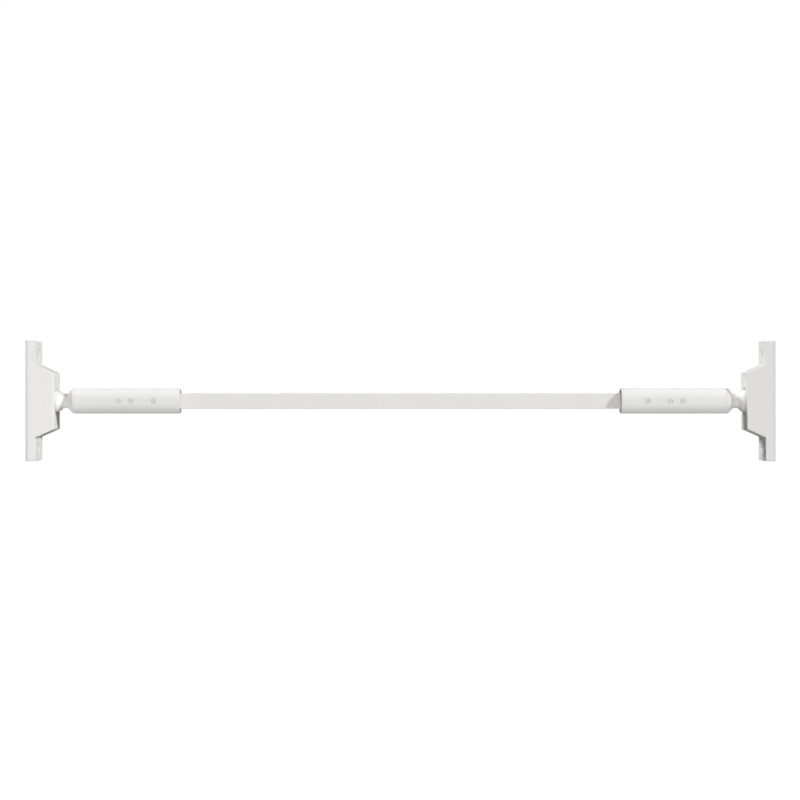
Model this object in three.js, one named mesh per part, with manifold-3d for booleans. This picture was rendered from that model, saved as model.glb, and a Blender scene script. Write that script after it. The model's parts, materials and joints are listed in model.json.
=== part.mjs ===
// Wall-to-wall pull-up bar: a rectangular bar that telescopes into two round sleeves, each carried by a ball
// joint in a wall bracket. Millimetres, X along the bar, Z up, Y front (-) to back (+).
// The origin is the middle of the bar. One end is built pointing along +X, and the other is its mirror image.

import * as THREE from "three";
import { mergeVertices } from "three/addons/utils/BufferGeometryUtils.js";
import Module from "manifold-3d";

// Driving dimensions
const WALL_X = 473; // bar centre to wall, half of the fitted width
const GAP = 0.3; // clearance between neighbouring pieces

const BAR = { halfDepth: 7.5, halfHeight: 10 };
const BAR_WALL = 1.5;
const BAR_CORNER = 1.2;
const BAR_END_X = 376;
const GLIDE = { shank: 20, overlap: 2, disc: 4, stripGap: 0.1 }; // cap in the bar's end

// Along the sleeve, from its mouth
const SLEEVE_RADIUS = 16;
const SLEEVE_WALL = 1.2;
const MOUTH_X = 280;
const SLEEVE_LENGTH = 134.2;
const BUSH_SETBACK = 1.5;
const BUSH_LENGTH = 18;
const STRIP_START = 25;
const STRIP_LENGTH = 60;
const LOCK_SCREWS = { inner: 33, middle: 61.5, outer: 77 };
const LOCK_SCREW = { radius: 2.75, sunk: 0.2, edge: 0.4, pointEdge: 0.8, socket: 1.3, socketDepth: 1.5 };

const PLUG_INNER_END = 109;
const PLUG_BORE_FLOOR = 119;
const SHOULDER_START = 135;
const SHOULDER_ROUND = 3.9;
const NOSE_RADIUS = 9; // small end of the cone, and the neck of the ball

// Along the ball joint, from the ball's centre
const BALL_X = 442; // ball centre, on the bar's axis
const BALL_RADIUS = 15.5;
const BALL_FLAT = 11; // the ball's back is cut flat this far behind its centre
const SHANK = { radius: 5, end: -50, chamfer: 0.8, neck: -18.1 };
const CLIP = { start: -46.5, end: -45.2, groove: 4, radius: 7.6, opening: 4, side: 0.2 };
const WASHER = { start: -44.7, end: -43.3, clearance: 0.4 };
const LINER = { thickness: 1.4, frontAngle: 102, backAngle: 48 };
const CUP = { front: 6, back: 19, eye: 5 };
const DISC_SPRING = { back: 19.3, rise: 0.7, thickness: 1, eye: 7, bend: 12, radius: 15 };
const KEEPER = { front: 21.3, back: 23.3, halfDepth: 17, halfHeight: 36, corner: 3, eye: 6 };

// Wall bracket, from the ball's centre
const PLATE = { halfDepth: 25, halfHeight: 76, thickness: 8.9, corner: 1.5 };
const PAD_THICKNESS = 3.2; // the pad has the outline of the plate
const BLOCK = { front: -4.2, halfDepth: 22.4, halfHeightFront: 36, halfHeightPlate: 46.1, corner: 1.5 };
const EDGE_ROUND = 0.7; // front edges of the plate and the block
const SHELL = 3.5; // wall of the block
const FRONT_WALL = 4.2;
const POCKET_CORNER = 2;
const BOSS = { back: 16, postBack: 21, postRadius: 4.6, pilotStart: 8 };
const COUNTERBORE = { depth: 2.2, rim: 7.4, floor: 7 };
const WALL_SCREW = { z: 59.2, radius: 2.4, hole: 2.9, head: 6.2, height: 1.6 };
const KEEPER_SCREW = { z: 29, radius: 1.6, head: 3.6, height: 2.2, tip: 9 };
const THROUGH = 1; // how far a cutter runs past the faces it opens

const ROUND = 32; // facets round a piece that shows
const INNER_ROUND = 28; // facets round a piece inside
const SMALL_ROUND = 12; // facets round a screw or a hole
const CORNER_STEPS = 2;
const EDGE_STEPS = 2;

const INNER_RADIUS = SLEEVE_RADIUS - SLEEVE_WALL;
const SNUG_RADIUS = INNER_RADIUS - GAP; // what fits inside the sleeve
const LINER_INSIDE = BALL_RADIUS + GAP;
const LINER_OUTSIDE = LINER_INSIDE + LINER.thickness;
const SEAT_RADIUS = LINER_OUTSIDE + GAP;
const WALL_PLANE = WALL_X - BALL_X; // this and the next three are measured from the ball's centre
const PAD_FRONT = WALL_PLANE - PAD_THICKNESS;
const HOUSING_BACK = PAD_FRONT - GAP;
const PLATE_FRONT = HOUSING_BACK - PLATE.thickness;

const wasm = await Module();
wasm.setup();

const paint = { color: 0xece9e3, roughness: 0.38, metalness: 0 };
const moulding = { color: 0xebe8e2, roughness: 0.45, metalness: 0 };
const rubber = { color: 0xdedad2, roughness: 0.85, metalness: 0 };
const nylon = { color: 0xcfcdc6, roughness: 0.6, metalness: 0 };
const greyNylon = { color: 0x8f8f8c, roughness: 0.6, metalness: 0 };
const zinc = { color: 0xb4b6b8, roughness: 0.35, metalness: 0.9 };

// ---- Solids ----

function signedVolume(vertices, corners) {
  const [a, b, c] = [new THREE.Vector3(), new THREE.Vector3(), new THREE.Vector3()];
  let sum = 0;
  for (let i = 0; i < corners.length; i += 3) {
    a.fromArray(vertices, 3 * corners[i]);
    b.fromArray(vertices, 3 * corners[i + 1]);
    c.fromArray(vertices, 3 * corners[i + 2]);
    sum += a.dot(b.cross(c)) / 6;
  }
  return sum;
}

// A closed geometry as a solid whose faces point outwards.
function toSolid(geometry) {
  const bare = geometry.index ? geometry.toNonIndexed() : geometry.clone();
  bare.deleteAttribute("normal");
  bare.deleteAttribute("uv");
  const merged = mergeVertices(bare, 1e-4);
  const vertices = merged.attributes.position.array;
  const index = merged.index.array;
  const corners = [];
  for (let i = 0; i < index.length; i += 3) {
    const [a, b, c] = index.subarray(i, i + 3);
    if (a !== b && b !== c && c !== a) corners.push(a, b, c);
  }
  if (signedVolume(vertices, corners) < 0) corners.reverse();
  return new wasm.Manifold(
    new wasm.Mesh({ numProp: 3, vertProperties: vertices, triVerts: new Uint32Array(corners) }),
  );
}

function subtractAll(solid, cutters) {
  return cutters.reduce((left, cutter) => left.subtract(cutter), solid);
}

// Points of an arc in an outline of [along, radius] pairs; angles in degrees from the X axis.
function arc(along, radius, size, from, to, steps) {
  return Array.from({ length: steps + 1 }, (_, i) => {
    const angle = THREE.MathUtils.degToRad(from + ((to - from) * i) / steps);
    return [along + size * Math.cos(angle), radius + size * Math.sin(angle)];
  });
}

// A piece turned about the X axis from [along, radius] pairs. An outline off the axis closes on itself.
function turned(outline, facets = ROUND) {
  const points = outline.map(([along, radius]) => new THREE.Vector2(Math.max(radius, 0), along));
  if (points[0].x > 0) points.push(points[0].clone());
  return toSolid(new THREE.LatheGeometry(points, facets).rotateZ(-Math.PI / 2));
}

function rod(radius, start, end, facets = SMALL_ROUND) {
  return turned([[start, 0], [start, radius], [end, radius], [end, 0]], facets);
}

function ring(inside, outside, start, end, facets = INNER_ROUND) {
  return turned([[start, inside], [start, outside], [end, outside], [end, inside]], facets);
}

function box(sizeX, sizeY, sizeZ, x = 0, y = 0, z = 0) {
  return toSolid(new THREE.BoxGeometry(sizeX, sizeY, sizeZ).translate(x, y, z));
}

// A cylinder that runs from front to back, for what goes through the sleeve's front wall.
function crossRod(radius, x, start, end) {
  const geometry = new THREE.CylinderGeometry(radius, radius, end - start, SMALL_ROUND);
  return toSolid(geometry.translate(x, (start + end) / 2, 0));
}

function roundedRectangle(halfDepth, halfHeight, corner) {
  const shape = new THREE.Shape();
  const [y, z] = [halfDepth - corner, halfHeight - corner];
  shape.absarc(y, z, corner, 0, Math.PI / 2);
  shape.absarc(-y, z, corner, Math.PI / 2, Math.PI);
  shape.absarc(-y, -z, corner, Math.PI, 1.5 * Math.PI);
  shape.absarc(y, -z, corner, 1.5 * Math.PI, 2 * Math.PI);
  return shape;
}

// A section in the YZ plane, carried along X.
function prism(shape, start, end) {
  const geometry = new THREE.ExtrudeGeometry(shape, {
    depth: end - start,
    bevelEnabled: false,
    curveSegments: CORNER_STEPS,
  });
  const [x, y, z] = [
    new THREE.Vector3(1, 0, 0),
    new THREE.Vector3(0, 1, 0),
    new THREE.Vector3(0, 0, 1),
  ];
  return toSolid(geometry.applyMatrix4(new THREE.Matrix4().makeBasis(y, z, x)).translate(start, 0, 0));
}

// A skin over rounded rectangles at successive X positions, closed flat at both ends.
function loft(sections) {
  const rings = sections.map(({ x, halfDepth, halfHeight, corner }) =>
    roundedRectangle(halfDepth, halfHeight, corner)
      .getPoints(CORNER_STEPS)
      .slice(0, -1)
      .map((p) => [x, p.x, p.y]),
  );
  const count = rings[0].length;
  const triangles = [];
  for (let s = 0; s + 1 < rings.length; s++) {
    for (let i = 0; i < count; i++) {
      const j = (i + 1) % count;
      const [a, b, c, d] = [rings[s][i], rings[s][j], rings[s + 1][j], rings[s + 1][i]];
      triangles.push(a, b, c, a, c, d);
    }
  }
  const [first, last] = [rings[0], rings.at(-1)];
  for (let i = 1; i + 1 < count; i++) {
    triangles.push(first[0], first[i + 1], first[i]);
    triangles.push(last[0], last[i], last[i + 1]);
  }
  const geometry = new THREE.BufferGeometry();
  geometry.setAttribute("position", new THREE.Float32BufferAttribute(triangles.flat(), 3));
  return toSolid(geometry);
}

// Half depth of the bracket: plate and block share drafted sides that widen towards the wall.
function depthAt(x) {
  const slope = (PLATE.halfDepth - BLOCK.halfDepth) / (HOUSING_BACK - BLOCK.front);
  return BLOCK.halfDepth + slope * (x - BLOCK.front);
}

// A body with a rounded front edge: its half height may change from the front to the back.
function roundedFrontBody(front, back, heightAt, corner) {
  const edge = Array.from({ length: EDGE_STEPS + 1 }, (_, i) => {
    const angle = (Math.PI / 2) * (i / EDGE_STEPS);
    const x = front + EDGE_ROUND * (1 - Math.sin(angle));
    const inset = EDGE_ROUND * (1 - Math.cos(angle));
    return {
      x,
      halfDepth: depthAt(x) - inset,
      halfHeight: heightAt(x) - inset,
      corner: corner - inset,
    };
  }).reverse();
  const plain = [PLATE_FRONT, back]
    .filter((x) => x > front + EDGE_ROUND)
    .map((x) => ({ x, halfDepth: depthAt(x), halfHeight: heightAt(x), corner }));
  return loft([...edge, ...plain]);
}

// ---- Assembly helpers ----

const bar = new THREE.Group();

function addPiece(parent, name, solid, look) {
  const { vertProperties, triVerts, numProp } = solid.getMesh();
  const geometry = new THREE.BufferGeometry();
  const interleaved = new THREE.InterleavedBuffer(vertProperties, numProp);
  geometry.setAttribute("position", new THREE.InterleavedBufferAttribute(interleaved, 3, 0));
  geometry.setIndex(new THREE.BufferAttribute(triVerts, 1));
  const flat = geometry.toNonIndexed();
  flat.computeVertexNormals();
  const mesh = new THREE.Mesh(flat, new THREE.MeshStandardMaterial(look));
  mesh.name = name;
  parent.add(mesh);
  return mesh;
}

// ---- The bar ----

// The bar's outline in the YZ plane, grown on every side, or shrunk by a negative number.
function barOutline(growth, corner) {
  return roundedRectangle(BAR.halfDepth + growth, BAR.halfHeight + growth, corner);
}

function centreBar() {
  const section = barOutline(0, BAR_CORNER);
  section.holes.push(barOutline(-BAR_WALL, BAR_CORNER / 2));
  return prism(section, -BAR_END_X, BAR_END_X);
}

// Nylon cap in the bar's end that keeps it centred in the sleeve. Its front is flat, to pass the nut strip.
function barGlide() {
  const shank = prism(barOutline(-BAR_WALL - GAP, BAR_CORNER / 2), -GLIDE.shank, GLIDE.overlap);
  const disc = rod(SNUG_RADIUS, GAP, GLIDE.disc, INNER_ROUND);
  const size = SLEEVE_RADIUS;
  const front = box(size, size, 2 * size, 0, -BAR.halfDepth - GLIDE.stripGap - size / 2, 0);
  return shank.add(disc).subtract(front);
}

// ---- Sleeve, measured from its mouth ----

function lockScrewHoles() {
  return Object.values(LOCK_SCREWS).map((x) =>
    crossRod(LOCK_SCREW.radius + GAP, x, -SLEEVE_RADIUS - THROUGH, 0),
  );
}

function sleeveTube() {
  return subtractAll(ring(INNER_RADIUS, SLEEVE_RADIUS, 0, SLEEVE_LENGTH, ROUND), lockScrewHoles());
}

function guideBush() {
  const end = BUSH_SETBACK + BUSH_LENGTH;
  const passage = prism(barOutline(GAP, BAR_CORNER + GAP), 0, end + THROUGH);
  return rod(SNUG_RADIUS, BUSH_SETBACK, end, INNER_ROUND).subtract(passage);
}

// Steel strip between the sleeve's front wall and the bar's front face, tapped for the lock screws.
function nutStrip() {
  const end = STRIP_START + STRIP_LENGTH;
  const flat = -BAR.halfDepth - 2 * GAP;
  const size = 2 * SLEEVE_RADIUS;
  const behind = box(2 * end, size, size, 0, flat + size / 2, 0);
  return subtractAll(rod(SNUG_RADIUS, STRIP_START, end, INNER_ROUND), [behind, ...lockScrewHoles()]);
}

// Socket set screw, its end just under the sleeve's skin and its point on the bar.
function lockScrew() {
  const { radius, sunk, edge, pointEdge, socket, socketDepth } = LOCK_SCREW;
  const head = -SLEEVE_RADIUS + sunk;
  const point = -BAR.halfDepth - GAP;
  const outline = [
    new THREE.Vector2(0, head),
    new THREE.Vector2(radius - edge, head),
    new THREE.Vector2(radius, head + edge),
    new THREE.Vector2(radius, point - pointEdge),
    new THREE.Vector2(radius - pointEdge, point),
    new THREE.Vector2(0, point),
  ];
  const body = toSolid(new THREE.LatheGeometry(outline, SMALL_ROUND));
  const hexagon = new THREE.CylinderGeometry(socket, socket, 2 * socketDepth, 6).translate(0, head, 0);
  return body.subtract(toSolid(hexagon));
}

// Plug in the sleeve's outer end, with a rounded shoulder and a cone down to the neck of the ball.
function endPlug() {
  const shoulder = SLEEVE_LENGTH + GAP;
  const round = arc(SHOULDER_START, SLEEVE_RADIUS - SHOULDER_ROUND, SHOULDER_ROUND, 90, 45, 3);
  const [coneStart, coneRadius] = round.at(-1);
  const coneEnd = coneStart + coneRadius - NOSE_RADIUS;
  const bore = SHANK.radius + GAP;
  const recess = NOSE_RADIUS;
  return turned([
    [PLUG_INNER_END, recess],
    [PLUG_INNER_END, SNUG_RADIUS],
    [shoulder, SNUG_RADIUS],
    [shoulder, SLEEVE_RADIUS],
    ...round,
    [coneEnd, NOSE_RADIUS],
    [coneEnd, bore],
    [PLUG_BORE_FLOOR, bore],
    [PLUG_BORE_FLOOR, recess],
  ]);
}

// ---- Ball stud, measured from the ball's centre ----

function ballStud() {
  const { radius, end, chamfer, neck } = SHANK;
  const neckAngle = THREE.MathUtils.radToDeg(Math.asin(NOSE_RADIUS / BALL_RADIUS));
  const flatAngle = THREE.MathUtils.radToDeg(Math.acos(BALL_FLAT / BALL_RADIUS));
  return turned([
    [end, 0],
    [end, radius - chamfer],
    [end + chamfer, radius],
    [CLIP.start - CLIP.side, radius],
    [CLIP.start - CLIP.side, CLIP.groove],
    [CLIP.end + CLIP.side, CLIP.groove],
    [CLIP.end + CLIP.side, radius],
    [neck, radius],
    [neck, NOSE_RADIUS],
    ...arc(0, 0, BALL_RADIUS, 180 - neckAngle, flatAngle, 10),
    [BALL_FLAT, 0],
  ]);
}

function thrustWasher() {
  return ring(SHANK.radius + GAP, NOSE_RADIUS - WASHER.clearance, WASHER.start, WASHER.end);
}

// Snap ring, open at the top.
function retainingClip() {
  const opening = box(CLIP.opening, CLIP.opening, CLIP.radius, CLIP.start, 0, CLIP.radius);
  return ring(CLIP.groove + GAP, CLIP.radius, CLIP.start, CLIP.end).subtract(opening);
}

// Floating band between the ball and its seat. Both faces are spheres, so it turns on either.
function ballLiner() {
  const { frontAngle, backAngle } = LINER;
  const outline = [
    ...arc(0, 0, LINER_OUTSIDE, frontAngle, backAngle, 4),
    ...arc(0, 0, LINER_INSIDE, backAngle, frontAngle, 4),
  ];
  return turned(outline, INNER_ROUND);
}

// ---- Wall bracket, measured from the ball's centre ----

function blockHeightAt(x) {
  const slope = (BLOCK.halfHeightPlate - BLOCK.halfHeightFront) / (PLATE_FRONT - BLOCK.front);
  return BLOCK.halfHeightFront + slope * (Math.min(x, PLATE_FRONT) - BLOCK.front);
}

// Hollow behind the block, open to the wall.
function pocket() {
  return loft(
    [BLOCK.front + FRONT_WALL, PLATE_FRONT, HOUSING_BACK + THROUGH].map((x) => ({
      x,
      halfDepth: depthAt(x) - SHELL,
      halfHeight: blockHeightAt(x) - SHELL,
      corner: POCKET_CORNER,
    })),
  );
}

function aboveAndBelow(solid, z) {
  return [1, -1].map((side) => solid.translate(0, 0, side * z));
}

// The socket's wall and the two posts that the retainer plate is screwed to.
function innerBosses() {
  const start = BLOCK.front + FRONT_WALL / 2;
  const wall = rod(SEAT_RADIUS + SHELL, start, BOSS.back, INNER_ROUND);
  const posts = aboveAndBelow(rod(BOSS.postRadius, start, BOSS.postBack), KEEPER_SCREW.z);
  return posts.reduce((all, post) => all.add(post), wall);
}

// A screw hole in a counterbore that narrows towards its floor.
function wallScrewHole() {
  const { rim, floor, depth } = COUNTERBORE;
  const widening = (rim - floor) / depth;
  return turned(
    [
      [PLATE_FRONT - THROUGH, 0],
      [PLATE_FRONT - THROUGH, rim + widening * THROUGH],
      [PLATE_FRONT + depth, floor],
      [PLATE_FRONT + depth, WALL_SCREW.hole],
      [HOUSING_BACK + THROUGH, WALL_SCREW.hole],
      [HOUSING_BACK + THROUGH, 0],
    ],
    SMALL_ROUND,
  );
}

function bracketHousing() {
  const plate = roundedFrontBody(PLATE_FRONT, HOUSING_BACK, () => PLATE.halfHeight, PLATE.corner);
  const block = roundedFrontBody(BLOCK.front, HOUSING_BACK, blockHeightAt, BLOCK.corner);
  const seat = turned(
    [
      [BOSS.back + THROUGH, 0],
      [BOSS.back + THROUGH, SEAT_RADIUS],
      ...arc(0, 0, SEAT_RADIUS, 90, 180, 6).slice(0, -1),
      [-SEAT_RADIUS, 0],
    ],
    INNER_ROUND,
  );
  const pilot = rod(KEEPER_SCREW.radius + GAP, BOSS.pilotStart, BOSS.postBack + THROUGH);
  const shell = plate.add(block).subtract(pocket()).add(innerBosses());
  return subtractAll(shell, [
    seat,
    ...aboveAndBelow(pilot, KEEPER_SCREW.z),
    ...aboveAndBelow(wallScrewHole(), WALL_SCREW.z),
  ]);
}

// Rear half of the socket, pushed against the liner by the disc spring.
function pressureCup() {
  const { front, back, eye } = CUP;
  const frontAngle = THREE.MathUtils.radToDeg(Math.acos(front / SEAT_RADIUS));
  const backAngle = THREE.MathUtils.radToDeg(Math.asin(eye / SEAT_RADIUS));
  const outline = [
    [front, SEAT_RADIUS - GAP],
    [back, SEAT_RADIUS - GAP],
    [back, eye],
    ...arc(0, 0, SEAT_RADIUS, backAngle, frontAngle, 4),
  ];
  return turned(outline, INNER_ROUND);
}

function discSpring() {
  const { back, rise, thickness, eye, bend, radius } = DISC_SPRING;
  const outline = [
    [back, bend],
    [back + rise, eye],
    [back + rise + thickness, eye],
    [back + thickness, bend],
    [back + thickness, radius],
    [back, radius],
  ];
  return turned(outline, INNER_ROUND);
}

function retainerPlate() {
  const { front, back, halfDepth, halfHeight, corner } = KEEPER;
  const cutter = (radius) => rod(radius, front - THROUGH, back + THROUGH);
  return subtractAll(prism(roundedRectangle(halfDepth, halfHeight, corner), front, back), [
    cutter(KEEPER.eye),
    ...aboveAndBelow(cutter(KEEPER_SCREW.radius + GAP), KEEPER_SCREW.z),
  ]);
}

// A pan-head screw with a cross recess: its point, seat and top lie along X. The head's edge is
// domed, and the recess is as wide as the head's radius.
const DOME = { edgeHeight: 0.6, edgeRadius: 0.96, topRadius: 0.7 };
const POINT_RADIUS = 0.6;
const RECESS_WIDTH = 0.2;

function panHeadScrew({ radius, head, height }, seat, tip) {
  const towards = Math.sign(seat - tip);
  const top = seat + towards * height;
  const outline = [
    [tip, 0],
    [tip, radius * POINT_RADIUS],
    [tip + towards * radius, radius],
    [seat, radius],
    [seat, head],
    [seat + towards * height * DOME.edgeHeight, head * DOME.edgeRadius],
    [top, head * DOME.topRadius],
    [top, 0],
  ];
  const width = RECESS_WIDTH * head;
  const arms = [box(height, head, width, top), box(height, width, head, top)];
  return subtractAll(turned(outline, SMALL_ROUND), arms);
}

function retainerScrew() {
  return panHeadScrew(KEEPER_SCREW, KEEPER.back + GAP, KEEPER_SCREW.tip);
}

function wallScrew() {
  return panHeadScrew(WALL_SCREW, PLATE_FRONT + COUNTERBORE.depth - GAP, WALL_PLANE - GAP);
}

function wallPad() {
  const hole = rod(WALL_SCREW.hole, PAD_FRONT - THROUGH, WALL_PLANE + THROUGH);
  return subtractAll(
    prism(roundedRectangle(PLATE.halfDepth, PLATE.halfHeight, PLATE.corner), PAD_FRONT, WALL_PLANE),
    aboveAndBelow(hole, WALL_SCREW.z),
  );
}

// ---- One end of the bar, built towards +X ----

function buildEnd(side) {
  const end = new THREE.Group();
  const named = (piece) => `${side}_${piece}`;

  const glide = addPiece(end, named("bar_glide"), barGlide(), nylon);
  glide.position.x = BAR_END_X;

  const sleeve = new THREE.Group();
  sleeve.position.x = MOUTH_X;
  addPiece(sleeve, named("sleeve_tube"), sleeveTube(), paint);
  addPiece(sleeve, named("guide_bush"), guideBush(), greyNylon);
  addPiece(sleeve, named("nut_strip"), nutStrip(), zinc);
  addPiece(sleeve, named("end_plug"), endPlug(), paint);
  for (const [place, x] of Object.entries(LOCK_SCREWS)) {
    const screw = addPiece(sleeve, named(`lock_screw_${place}`), lockScrew(), paint);
    screw.position.x = x;
  }

  const joint = new THREE.Group();
  joint.position.x = BALL_X;
  addPiece(joint, named("thrust_washer"), thrustWasher(), zinc);
  addPiece(joint, named("ball_stud"), ballStud(), paint);
  addPiece(joint, named("retaining_clip"), retainingClip(), zinc);
  addPiece(joint, named("ball_liner"), ballLiner(), nylon);

  addPiece(joint, named("bracket_housing"), bracketHousing(), moulding);
  addPiece(joint, named("pressure_cup"), pressureCup(), nylon);
  addPiece(joint, named("disc_spring"), discSpring(), zinc);
  addPiece(joint, named("retainer_plate"), retainerPlate(), zinc);
  addPiece(joint, named("wall_pad"), wallPad(), rubber);
  for (const [place, direction] of [["upper", 1], ["lower", -1]]) {
    const clamp = addPiece(joint, named(`retainer_screw_${place}`), retainerScrew(), zinc);
    clamp.position.z = direction * KEEPER_SCREW.z;
    const anchor = addPiece(joint, named(`wall_screw_${place}`), wallScrew(), paint);
    anchor.position.z = direction * WALL_SCREW.z;
  }

  end.add(sleeve, joint);
  return end;
}

addPiece(bar, "centre_bar", centreBar(), paint);
bar.add(buildEnd("right"));
const leftEnd = buildEnd("left");
leftEnd.scale.x = -1;
bar.add(leftEnd);

export default bar;
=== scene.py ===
import json
import math

import bmesh
import bpy
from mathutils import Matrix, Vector

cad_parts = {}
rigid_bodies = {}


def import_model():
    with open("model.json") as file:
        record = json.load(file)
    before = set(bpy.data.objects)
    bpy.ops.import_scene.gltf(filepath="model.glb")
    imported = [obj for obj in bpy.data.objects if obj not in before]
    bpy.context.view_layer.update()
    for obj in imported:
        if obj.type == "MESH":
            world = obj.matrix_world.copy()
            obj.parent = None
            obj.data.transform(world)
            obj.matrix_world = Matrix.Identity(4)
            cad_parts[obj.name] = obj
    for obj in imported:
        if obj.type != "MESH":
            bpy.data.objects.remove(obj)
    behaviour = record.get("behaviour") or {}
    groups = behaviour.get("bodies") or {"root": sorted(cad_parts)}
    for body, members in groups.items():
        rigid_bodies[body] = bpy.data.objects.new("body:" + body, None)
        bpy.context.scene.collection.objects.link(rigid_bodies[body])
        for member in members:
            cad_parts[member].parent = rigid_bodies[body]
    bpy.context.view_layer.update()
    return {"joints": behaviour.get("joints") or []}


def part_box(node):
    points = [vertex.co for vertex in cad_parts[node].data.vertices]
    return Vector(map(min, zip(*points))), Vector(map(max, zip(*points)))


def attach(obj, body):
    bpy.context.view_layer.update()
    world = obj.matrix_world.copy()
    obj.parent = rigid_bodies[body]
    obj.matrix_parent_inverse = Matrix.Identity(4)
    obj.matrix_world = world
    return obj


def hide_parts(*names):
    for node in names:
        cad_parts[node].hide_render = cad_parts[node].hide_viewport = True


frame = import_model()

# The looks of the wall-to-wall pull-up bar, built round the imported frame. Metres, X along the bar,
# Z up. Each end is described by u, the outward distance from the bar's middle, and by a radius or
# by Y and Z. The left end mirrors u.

MM = 0.001
SIDES = {"left": -1, "right": 1}
LOCK_PLACES = ("inner", "middle", "outer")
SCREW_PLACES = ("upper", "lower")

# How finely round shapes are divided
FINE_FACETS = 128  # round the turned pieces that show, and the ball's socket
FACETS = 96
SCREW_FACETS = 64
SMALL_FACETS = 40
HEXAGON = 6
ROUND_STEPS = 5  # on a rounded corner of an outline
CORNER_STEPS = 8  # on a corner of a rounded rectangle
PLATE_CORNER_STEPS = 10
EDGE_STEPS = 8  # on the bracket's rounded front edges
SHOULDER_STEPS = 12
FILLET_STEPS = 8
SEAT_STEPS = 24
BALL_STEPS = 40

# Limits for outlines and meshes
NEARLY_STRAIGHT = math.radians(176)  # a corner this open isn't rounded
CORNER_SHARE = 0.48  # the most of an edge that one rounding takes
ONE_POINT = 1e-9  # a loop smaller than this is one point
CUT_WELD = 0.001 * MM
FINAL_WELD = 1e-7
LOST_FACET_SIDES = 8  # the largest hole that is filled after a cut
SHARP_ANGLE = math.radians(32)  # an edge that bends more stays sharp
PAST = 1 * MM  # how far a cutter or an inner piece goes past the face that it meets
FAR_PAST = 5 * MM

# Sizes that the boxes of the CAD nodes don't give
CLEARANCE = 0.3 * MM
SEAM = 0.05 * MM  # what shows between pieces that are pressed together
BAR_WALL = 1.5 * MM
BAR_CORNER = 1.2 * MM
SLEEVE_WALL = 1.2 * MM
PLUG_RECESS = 10 * MM
CONE_ANGLE = math.pi / 4
SHOULDER_ROUND = 3.9 * MM
SHANK_RADIUS = 5 * MM
GROOVE_RADIUS = 4 * MM  # of the shank, under the snap ring
NECK_RADIUS = 9 * MM
NECK_FILLET = 3 * MM
LINER_THICKNESS = 1.4 * MM
LINER_FRONT = 102  # the liner's two edges, in degrees from outward
LINER_BACK = 48
PLATE_THICKNESS = 8.9 * MM
PLATE_CORNER = 1.5 * MM
PAD_EDGE = 0.12 * MM
BLOCK_CORNER = 1.5 * MM
BLOCK_HALF_DEPTH = 22.4 * MM
BLOCK_HALF_FRONT = 36 * MM
BLOCK_HALF_PLATE = 46.1 * MM
BLOCK_INSET = 0.02 * MM  # keeps the block's sides inside the plate's where the two are joined
BRACKET_EDGE = 0.7 * MM
BRACKET_SHELL = 3.5 * MM
POCKET_CORNER = 2 * MM
COUNTERBORE_DEPTH = 2.2 * MM
COUNTERBORE_RIM = 7.4 * MM
COUNTERBORE_FLOOR = 7 * MM
SOCKET_BOSS = 16 * MM  # how far the bosses and the screw holes go past the ball's centre
SCREW_BOSS = 21 * MM
SCREW_HOLE = 22 * MM
SCREW_BOSS_RADIUS = 4.6 * MM
RETAINER_HOLE_RADIUS = 1.9 * MM
RETAINER_SCREW_Z = 29 * MM
WALL_HOLE_RADIUS = 2.9 * MM
WALL_SCREW_Z = 59.2 * MM
PLATE_EYE_RADIUS = 6 * MM
CUP_EYE_RADIUS = 5 * MM


class Span:
    """Where a CAD node lies: start and end are outward distances from the bar's middle."""

    def __init__(self, node):
        self.low, self.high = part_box(node)
        self.start, self.end = sorted((abs(self.low.x), abs(self.high.x)))
        self.half_y = (self.high.y - self.low.y) / 2
        self.half_z = (self.high.z - self.low.z) / 2
        self.centre = (self.low + self.high) / 2


# ---- Outlines and loops ----

def soften(points, size, cyclic=True):
    """An outline with its corners rounded. size is one radius, or one for each corner."""
    sizes = size if isinstance(size, (list, tuple)) else [size] * len(points)
    made = []
    count = len(points)
    for i, point in enumerate(points):
        here = Vector(point)
        if not cyclic and i in (0, count - 1):
            made.append(here)
            continue
        before = Vector(points[i - 1]) - here
        after = Vector(points[(i + 1) % count]) - here
        turn = before.angle(after)
        if sizes[i] <= 0 or turn > NEARLY_STRAIGHT:
            made.append(here)
            continue
        most = CORNER_SHARE * before.length, CORNER_SHARE * after.length
        reach = min(sizes[i] / math.tan(turn / 2), *most)
        radius = reach * math.tan(turn / 2)
        inwards = (before.normalized() + after.normalized()).normalized()
        middle = here + inwards * (radius / math.sin(turn / 2))
        first = here + before.normalized() * reach - middle
        last = here + after.normalized() * reach - middle
        sweep = math.atan2(first.x * last.y - first.y * last.x, first.dot(last))
        for k in range(ROUND_STEPS + 1):
            angle = sweep * k / ROUND_STEPS
            made.append(middle + Vector((
                first.x * math.cos(angle) - first.y * math.sin(angle),
                first.x * math.sin(angle) + first.y * math.cos(angle),
            )))
    return [tuple(p) for p in made]


def arc(centre, radius, start, end, steps):
    """Points (u, radius) of an arc round a point on the axis; angles in degrees from outward."""
    angles = [math.radians(start + (end - start) * k / steps) for k in range(steps + 1)]
    return [(centre + radius * math.cos(a), radius * math.sin(a)) for a in angles]


def ring_loop(u, radius, facets):
    turns = [2 * math.pi * k / facets for k in range(facets)]
    return [(u, radius * math.cos(t), radius * math.sin(t)) for t in turns]


def rectangle_loop(u, half_y, half_z, corner, steps=CORNER_STEPS):
    """A rounded rectangle in the YZ plane at one outward distance."""
    loop = []
    for quarter in range(4):
        sign_y = 1 if quarter in (0, 3) else -1
        sign_z = 1 if quarter in (0, 1) else -1
        for k in range(steps + 1):
            angle = math.pi / 2 * (quarter + k / steps)
            loop.append((
                u,
                sign_y * (half_y - corner) + corner * math.cos(angle),
                sign_z * (half_z - corner) + corner * math.sin(angle),
            ))
    return loop


# ---- Meshes ----

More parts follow.
